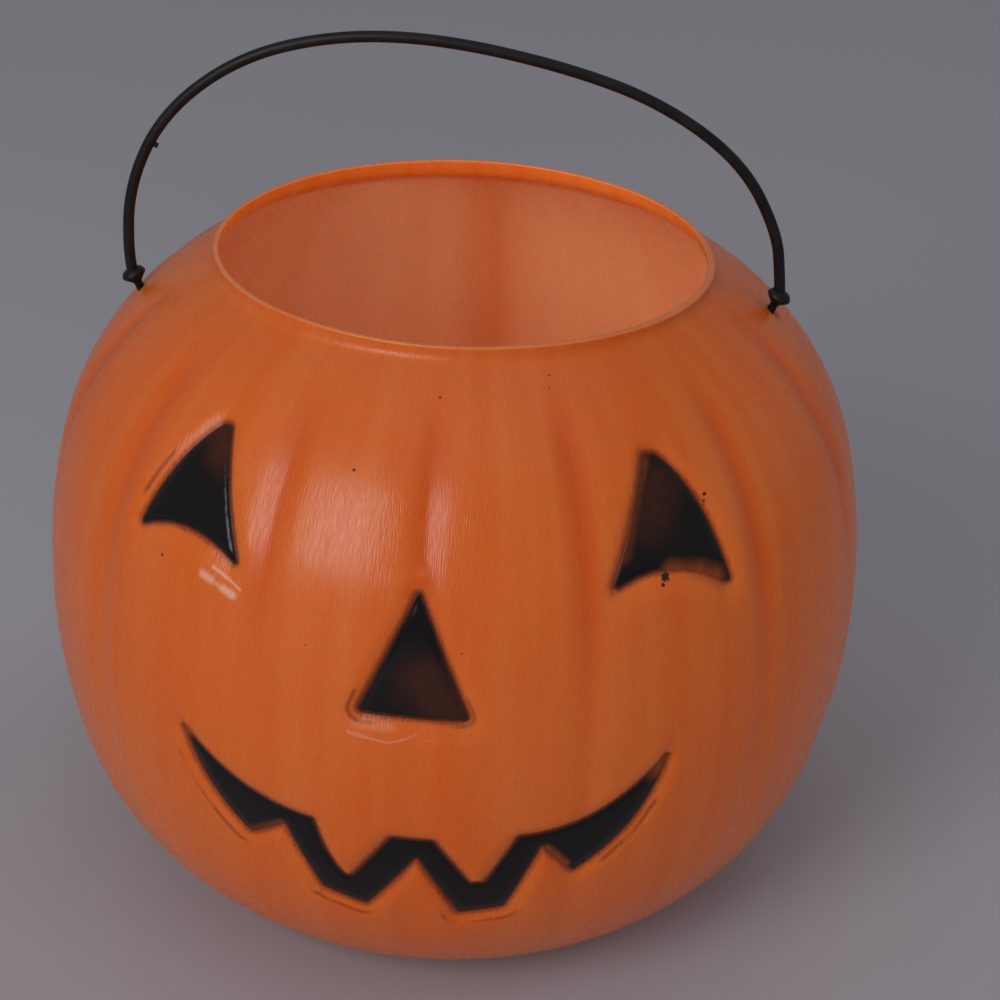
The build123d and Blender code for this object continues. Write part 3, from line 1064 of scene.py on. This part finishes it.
        faces = np.array([each for each in made[2] if len(each) == 3])
        self.hole_rings = [np.array([new_number[each] for each in ring]) for ring in hole_starts]
        middles = self.flat[faces].mean(axis=1)
        open_faces = np.zeros(len(faces), bool)
        for middle, stretch, _, radius in rims:
            open_faces |= np.hypot(*((middles - middle) / stretch).T) < radius * 0.999
        faces = self._close_seam(faces[~open_faces], rows)
        self.gap, ways, owner = self._gap_of(self.flat)
        self.faces = faces
        face_gap, _, self.face_owner = self._gap_of(self.flat[faces].mean(axis=1))
        self.face_owner[face_gap > 0] = -1
        self._stain(ways, owner)

    def _close_seam(self, faces: np.ndarray, rows: np.ndarray) -> np.ndarray:
        """Joins the sheet's two upright ends at the back and its lower end at the pole."""
        half = pi * self.flat_radius
        row_number = np.abs(self.flat[:, 1:] - rows).argmin(axis=1)
        same = np.arange(len(self.flat))
        starts = {row_number[each]: each for each in np.where(self.flat[:, 0] < -half + 1e-3)[0]}
        for each in np.where(self.flat[:, 0] > half - 1e-3)[0]:
            same[each] = starts[row_number[each]]
        pole = np.where(self.flat[:, 1] < 1e-3)[0]
        same[pole] = pole[0]
        faces = same[faces]
        proper = (faces[:, 0] != faces[:, 1]) & (faces[:, 1] != faces[:, 2]) & (faces[:, 0] != faces[:, 2])
        top = np.where(self.flat[:, 1] > self.skin.length - self.rim_roundness - 1e-3)[0]
        top = top[np.argsort(self.flat[top, 0])]
        self.top = top[:-1]
        return faces[proper]

    def _stain(self, ways: np.ndarray, owner: np.ndarray) -> None:
        """Where stray paint lies on the slopes round the painted areas."""
        right_eye = owner == list(FacePart).index(FacePart.RIGHT_EYE)
        self.stain = np.where(right_eye, np.clip(-1.3 * ways[:, 0] - 0.2, 0.0, 0.8), 0.0)
        self.ghost = np.zeros(len(self.flat))
        self.line_gap = np.full(len(self.flat), self.gap_reach)
        for stray in self.face.strays:
            line = self.flatten(stray)
            distance = np.median(self._gap_of(line)[0])
            apart = line_distance(self.flat, line)
            near = apart < self.stray_reach
            self.line_gap[near] = self.gap[near] - distance
            faded = 1.0 - smooth_step(apart[near], *self.stray_fade)
            self.ghost[near] = np.maximum(self.ghost[near], faded)

    def place_specks(self) -> Tuple[PlacedSpeck, ...]:
        """Specks of stray paint on the moulded surface, each with its radius."""
        flat = self.flatten([(away, height) for away, height, _ in self.face.specks])
        spots = self.place(flat, 0.0).tolist()
        return tuple((*spot, radius) for spot, (_, _, radius) in zip(spots, self.face.specks))

    def place_marks(self, marks: Sequence[Mark]) -> Tuple[PlacedMark, ...]:
        """Marks of the front view with their ends moved to the moulded surface."""
        placed = []
        for start, end, reach, share in marks:
            ends = self.place(self.flatten((start, end)), 0.0).tolist()
            placed.append((tuple(ends[0]), tuple(ends[1]), reach, share))
        return tuple(placed)

    def _rim(self, outer: np.ndarray, inner: np.ndarray) -> Tuple[np.ndarray, List[Sequence[int]]]:
        """Rounded rows over the cut edge, from the outer to the inner wall.

        Args:
            outer: Places of the outer wall.
            inner: Places of the inner wall.

        Returns:
            All places and the faces of the edge.
        """
        rows = [self.top]
        points = [outer, inner]
        count = 2 * len(outer)
        for share, rise in self.rim_rounding:
            row = outer[self.top] * (1.0 - share) + inner[self.top] * share
            row[:, 2] += self.rim_roundness * rise
            rows.append(count + np.arange(len(row)))
            points.append(row)
            count += len(row)
        rows.append(self.top + len(outer))
        faces = []
        for below, above in zip(rows, rows[1:]):
            for first, second, third, fourth in zip(below, np.roll(below, -1), np.roll(above, -1), above):
                faces.append((int(first), int(second), int(third), int(fourth)))
        return np.vstack(points), faces


@dataclass
class PaintFilm:
    """Layer of paint on the floor of one recess, thinner at its edge."""

    shell: PailShell
    part: FacePart
    thickness: float = 0.28
    edge_thickness: float = 0.03
    edge_start: float = 0.7
    edge_end: float = 2.2
    lift: float = 0.01

    def build(self) -> bpy.types.Object:
        """Makes the film from the shell's own triangles, so that it follows the recess.

        Returns:
            The piece.
        """
        number = list(FacePart).index(self.part)
        faces = self.shell.faces[self.shell.face_owner == number]
        used, faces = np.unique(faces, return_inverse=True)
        faces = faces.reshape(-1, 3)
        flat = self.shell.flat[used]
        inwards = -self.shell.gap[used]
        fullness = smooth_step(inwards, self.edge_start, self.edge_end)
        over = self.edge_thickness + (self.thickness - self.edge_thickness) * fullness
        top = self.shell.place(flat, self.lift + over)
        under = self.shell.place(flat, self.lift)
        count = len(used)
        all_faces = [tuple(each) for each in faces]
        all_faces += [(third + count, second + count, first + count) for first, second, third in faces]
        sides = np.vstack([faces[:, (0, 1)], faces[:, (1, 2)], faces[:, (2, 0)]])
        both = {tuple(each) for each in sides.tolist()}
        for first, second in both:
            if (second, first) not in both:
                all_faces.append((second, first, first + count, second + count))
        piece = make_piece(self.part.value.replace("_paint", "_film"), np.vstack([top, under]), all_faces)
        carry(piece, "paint_gap", np.tile(-inwards, 2))
        return piece


@dataclass
class Bail:
    """One-piece moulded bail: a round rod with a collar, a neck and a barb at each end."""

    shell: PailShell
    rod_diameter: float = 2.9
    neck_diameter: float = 2.2
    neck_seat: float = 2.5
    collar_diameter: float = 6.4
    collar_seat: float = 4.38
    collar_rim_height: float = 0.8
    collar_top_height: float = 1.3
    collar_top_diameter: float = 3.8
    barb_diameter: float = 6.0
    barb_seat: float = 4.2
    barb_rim_height: float = 0.6
    barb_point_length: float = 3.5
    barb_point_diameter: float = 2.0
    rise: float = 71.0
    nub_diameter: float = 1.4
    nub_height: float = 0.9
    nub_place: float = 0.155
    end_ease: float = 0.25
    rod_sides: int = 24
    rod_rows: int = 260
    end_sides: int = 36
    nub_sides: int = 14
    bends: Tuple[Point, ...] = (
        (-0.018, 0.13),
        (-0.008, 0.41),
        (0.053, 0.686),
        (0.173, 0.896),
        (0.318, 0.986),
        (0.477, 0.986),
        (0.665, 0.899),
        (0.816, 0.777),
        (0.942, 0.569),
        (1.003, 0.308),
        (1.012, 0.13),
    )

    def build(self, material: bpy.types.Material) -> bpy.types.Object:
        """Makes the bail with Geometry Nodes along its route.

        Args:
            material: Finish that the nodes set.

        Returns:
            The piece, as a plain mesh.
        """
        route = self._route()
        end = self._end()
        seats = [hole.centre(self.shell.skin, self.shell.wall) for hole in self.shell.holes]
        carrier = make_piece("bail", np.array(seats), [])
        necks = carrier.data.attributes.new("neck", "FLOAT_VECTOR", "POINT")
        necks.data.foreach_set("vector", [each for hole in self.shell.holes for each in hole.neck()])
        tree, sockets = self._tree()
        modifier = carrier.modifiers.new("bail", "NODES")
        modifier.node_group = tree
        sizes = {
            "Route": route,
            "End": end,
            "Rod radius": self.rod_diameter / 2 * MM,
            "Nub radius": self.nub_diameter / 2 * MM,
            "Nub length": (self.rod_diameter / 2 + self.nub_height) * MM,
            "Nub place": self.nub_place,
            "Material": material,
        }
        for name, size in sizes.items():
            modifier[sockets[name]] = size
        bpy.context.view_layer.update()
        shown = carrier.evaluated_get(bpy.context.evaluated_depsgraph_get())
        mesh = bpy.data.meshes.new_from_object(shown)
        carrier.modifiers.remove(modifier)
        carrier.data = mesh
        for helper in (route, end):
            bpy.data.objects.remove(helper)
        return carrier

    def _route(self) -> bpy.types.Object:
        """Middle line of the rod as a smooth curve from collar to collar."""
        left, right = self.shell.holes
        start = left.centre(self.shell.skin, self.shell.wall)
        end = right.centre(self.shell.skin, self.shell.wall)
        span = end - start
        across = span.normalized()
        up = Vector((-across.z, 0.0, across.x))
        seat = self.collar_seat + self.collar_rim_height
        points = [start + left.neck() * seat]
        points += [start + span * share + up * (rise * self.rise) for share, rise in self.bends]
        points += [end + right.neck() * seat]
        data = bpy.data.curves.new("bail_route", "CURVE")
        data.dimensions = "3D"
        spline = data.splines.new("NURBS")
        spline.points.add(len(points) - 1)
        for control, point in zip(spline.points, points):
            control.co = (*(point * MM), 1.0)
        spline.order_u = 3
        spline.use_endpoint_u = True
        spline.resolution_u = 24
        route = bpy.data.objects.new("bail_route", data)
        bpy.context.scene.collection.objects.link(route)
        return route

    def _end(self) -> bpy.types.Object:
        """Barb, neck and collar turned about the neck's line, with eased edges."""
        collar_rim = self.collar_seat + self.collar_rim_height
        barb_rim = self.barb_seat + self.barb_rim_height
        collar = self.collar_diameter / 2
        barb = self.barb_diameter / 2
        neck = self.neck_diameter / 2
        point = self.barb_point_diameter / 2
        ease = self.end_ease
        profile = [
            (0.0, -barb_rim - self.barb_point_length),
            (point - ease, -barb_rim - self.barb_point_length),
            (point, -barb_rim - self.barb_point_length + ease),
            (barb - ease, -barb_rim - ease),
            (barb, -barb_rim + ease),
            (barb, -self.barb_seat - ease),
            (barb - ease, -self.barb_seat + ease),
            (neck + ease, -self.neck_seat - ease),
            (neck, -self.neck_seat + ease),
            (neck, self.neck_seat - ease),
            (neck + ease, self.neck_seat + ease),
            (collar - ease, self.collar_seat - ease / 2),
            (collar, self.collar_seat + ease),
            (collar, collar_rim - ease),
            (collar - ease, collar_rim + ease),
            ((collar + self.collar_top_diameter / 2) / 2, collar_rim + self.collar_top_height * 0.65),
            (self.collar_top_diameter / 2, collar_rim + self.collar_top_height - ease / 2),
            (self.rod_diameter / 2, collar_rim + self.collar_top_height),
            (0.0, collar_rim + self.collar_top_height),
        ]
        turns = np.linspace(0.0, 2 * pi, self.end_sides, endpoint=False)
        points = [(0.0, 0.0, profile[0][1])]
        for away, height in profile[1:-1]:
            points += [(away * cos(turn), away * sin(turn), height) for turn in turns]
        points.append((0.0, 0.0, profile[-1][1]))
        faces: List[Sequence[int]] = []
        sides = self.end_sides
        for each in range(sides):
            after = (each + 1) % sides
            faces.append((0, 1 + after, 1 + each))
            for row in range(len(profile) - 3):
                low = 1 + row * sides
                faces.append((low + each, low + after, low + sides + after, low + sides + each))
            last = 1 + (len(profile) - 3) * sides
            faces.append((last + each, last + after, len(points) - 1))
        return make_piece("bail_end", np.array(points), faces)

    def _tree(self) -> Tuple[bpy.types.NodeTree, Dict[str, str]]:
        """Geometry Nodes that sweep the rod and set an end at each hole and the stub of the gate.

        Returns:
            The tree and the identifiers of its inputs by name.
        """
        tree = bpy.data.node_groups.new("bail_tree", "GeometryNodeTree")
        kinds = {
            "Seats": "NodeSocketGeometry",
            "Route": "NodeSocketObject",
            "End": "NodeSocketObject",
            "Rod radius": "NodeSocketFloat",
            "Nub radius": "NodeSocketFloat",
            "Nub length": "NodeSocketFloat",
            "Nub place": "NodeSocketFloat",
            "Material": "NodeSocketMaterial",
        }
        sockets = {}
        for name, kind in kinds.items():
            sockets[name] = tree.interface.new_socket(name, in_out="INPUT", socket_type=kind).identifier
        tree.interface.new_socket("Bail", in_out="OUTPUT", socket_type="NodeSocketGeometry")
        graph = Graph(tree)
        given = tree.nodes.new("NodeGroupInput")
        size = {name: Value(graph, given.outputs[name]) for name in kinds}
        line = graph.node("GeometryNodeObjectInfo", {}, {"Object": size["Route"]}, "Geometry")
        divided = {"Curve": line, "Count": self.rod_rows}
        line = graph.node("GeometryNodeResampleCurve", {"mode": "COUNT"}, divided)
        circle = {"Resolution": self.rod_sides, "Radius": size["Rod radius"]}
        section = graph.node("GeometryNodeCurvePrimitiveCircle", {}, circle)
        sweep = {"Curve": line, "Profile Curve": section, "Fill Caps": True}
        rod = graph.node("GeometryNodeCurveToMesh", {}, sweep)
        way = graph.node("GeometryNodeInputNamedAttribute", {"data_type": "FLOAT_VECTOR"}, {"Name": "neck"})
        turn = graph.node("FunctionNodeAlignRotationToVector", {"axis": "Z"}, {"Vector": way})
        end = graph.node("GeometryNodeObjectInfo", {}, {"Object": size["End"]}, "Geometry")
        seated = {"Points": size["Seats"], "Instance": end, "Rotation": turn}
        ends = graph.node("GeometryNodeInstanceOnPoints", {}, seated)
        sample = {"Curves": line, "Factor": size["Nub place"]}
        spot = graph.node("GeometryNodeSampleCurve", {"mode": "FACTOR"}, sample, "Position")
        along = Value(graph, spot.socket.node.outputs["Tangent"])
        crossed = {0: along, 1: (0.0, -1.0, 0.0)}
        inwards = graph.node("ShaderNodeVectorMath", {"operation": "CROSS_PRODUCT"}, crossed)
        scaled = {0: inwards, "Scale": size["Nub length"] * 0.5}
        half = graph.node("ShaderNodeVectorMath", {"operation": "SCALE"}, scaled)
        middle = graph.node("ShaderNodeVectorMath", {"operation": "ADD"}, {0: spot, 1: half})
        lean = graph.node("FunctionNodeAlignRotationToVector", {"axis": "Z"}, {"Vector": inwards})
        stub = {"Vertices": self.nub_sides, "Radius": size["Nub radius"], "Depth": size["Nub length"]}
        nub = graph.node("GeometryNodeMeshCylinder", {}, stub)
        moved = {"Geometry": nub, "Translation": middle, "Rotation": lean}
        nub = graph.node("GeometryNodeTransform", {}, moved)
        smooth = graph.node("GeometryNodeSetShadeSmooth", {}, {"Geometry": rod})
        joined = graph.node("GeometryNodeJoinGeometry", {}, {0: [smooth, ends, nub]})
        whole = graph.node("GeometryNodeRealizeInstances", {}, {"Geometry": joined})
        dressed = {"Geometry": whole, "Material": size["Material"]}
        dressed = graph.node("GeometryNodeSetMaterial", {}, dressed)
        graph.node("NodeGroupOutput", {}, {0: dressed})
        return tree, sockets


def way_towards(around: float, above: float) -> Vector:
    """Way from the pail at an angle from the front to the viewer's right and an angle above the table."""
    turn, lift = radians(around), radians(above)
    return Vector((sin(turn) * cos(lift), -cos(turn) * cos(lift), sin(lift)))


@dataclass(frozen=True)
class Lamp:
    """Soft rectangular light that faces the middle of the pail."""

    name: str
    around: float
    above: float
    distance: float
    size: Point
    watts: float
    aim_height: float = 100.0

    def hang(self) -> None:
        """Makes the light at its place."""
        data = bpy.data.lights.new(self.name, "AREA")
        data.shape = "RECTANGLE"
        data.size = self.size[0] * MM
        data.size_y = self.size[1] * MM
        data.energy = self.watts
        light = bpy.data.objects.new(self.name, data)
        way = way_towards(self.around, self.above)
        light.location = (way * self.distance + Vector((0.0, 0.0, self.aim_height))) * MM
        light.rotation_euler = way.to_track_quat("Z", "Y").to_euler()
        bpy.context.scene.collection.objects.link(light)


@dataclass(frozen=True)
class Fill:
    """Wide light from far away, which glossy surfaces do not mirror."""

    name: str
    around: float
    above: float
    spread: float
    strength: float

    def hang(self) -> None:
        """Makes the light."""
        data = bpy.data.lights.new(self.name, "SUN")
        data.angle = radians(self.spread)
        data.energy = self.strength
        light = bpy.data.objects.new(self.name, data)
        light.visible_glossy = False
        way = way_towards(self.around, self.above)
        light.rotation_euler = way.to_track_quat("Z", "Y").to_euler()
        bpy.context.scene.collection.objects.link(light)


@dataclass
class Studio:
    """Pale floor, soft window light from the upper left and the camera of the photograph."""

    camera_place: Triple = (37.79, -531.19, 389.9)
    camera_turn: float = 2.8
    camera_pitch: float = 28.26
    camera_roll: float = 2.44
    lens: float = 79.2
    floor_colour: Colour = (0.43, 0.415, 0.455, 1.0)
    floor_size: float = 16000.0
    world_colour: Colour = (0.92, 0.94, 1.0, 1.0)
    world_strength: float = 0.26
    lamps: Tuple[Lamp, ...] = (
        Lamp("window", -30.0, 29.0, 1300.0, (520.0, 760.0), 6.0),
        Lamp("ceiling", 10.0, 82.0, 1500.0, (1500.0, 1500.0), 2.0),
        Lamp("mouth_fill", 35.0, 70.0, 80.0, (90.0, 90.0), 0.038),
    )
    fills: Tuple[Fill, ...] = (
        Fill("front_fill", 8.0, 8.0, 30.0, 0.46),
        Fill("room_fill", 112.0, 18.0, 30.0, 0.30),
    )

    def build(self) -> None:
        """Makes the floor, the lights and the camera."""
        self._floor()
        for light in self.lamps + self.fills:
            light.hang()
        world = bpy.data.worlds.new("room")
        world.use_nodes = True
        background = world.node_tree.nodes["Background"]
        background.inputs["Color"].default_value = self.world_colour
        background.inputs["Strength"].default_value = self.world_strength
        bpy.context.scene.world = world
        bpy.context.scene.view_settings.view_transform = "Standard"
        self._camera()

    def _floor(self) -> None:
        """Makes the plain floor."""
        half = self.floor_size / 2
        corners = np.array([(-half, -half, 0.0), (half, -half, 0.0), (half, half, 0.0), (-half, half, 0.0)])
        floor = make_piece("floor", corners, [(0, 1, 2, 3)])
        finish = Finish("pale_floor")
        floor.data.materials.append(finish.surface({"Base Color": self.floor_colour, "Roughness": 0.7}))

    def _camera(self) -> None:
        """Sets the camera where the photograph was taken."""
        pitch, roll = radians(self.camera_pitch), radians(self.camera_roll)
        right = Vector((1.0, 0.0, 0.0))
        up = Vector((0.0, sin(pitch), cos(pitch)))
        tilted_right = right * cos(roll) + up * sin(roll)
        tilted_up = up * cos(roll) - right * sin(roll)
        axes = Matrix((tilted_right, tilted_up, tilted_right.cross(tilted_up))).transposed()
        turned = Matrix.Rotation(radians(self.camera_turn), 3, "Z") @ axes
        data = bpy.data.cameras.new("camera")
        data.lens = self.lens
        camera = bpy.data.objects.new("camera", data)
        camera.matrix_world = Matrix.Translation(Vector(self.camera_place) * MM) @ turned.to_4x4()
        bpy.context.scene.collection.objects.link(camera)
        bpy.context.scene.camera = camera


def main() -> None:
    """Builds the pail and its studio, piece by piece."""
    logging.basicConfig(level=logging.INFO, format="%(name)s: %(message)s")
    shell = PailShell(Meridian(), Face(), [Hole(-1, 160.0), Hole(1, 164.8)])
    body = shell.build()
    # The strokes are painted highlights under the left eye and the nose.
    plastic = OrangePlastic(specks=shell.place_specks(), strokes=shell.place_marks(shell.face.glint_strokes))
    body.data.materials.append(plastic.make())
    settle(body, "pail", ["pumpkin_shell"])
    paint = BlackPaint(thin_marks=shell.place_marks(shell.face.thin_paint)).make()
    for part in FacePart:
        film = PaintFilm(shell, part).build()
        film.data.materials.append(paint)
        settle(film, "pail", [part.value])
    bail = Bail(shell).build(BlackPlastic().make())
    settle(bail, "bail", ["bail_handle"])
    Studio().build()


if __name__ == "__main__":
    main()
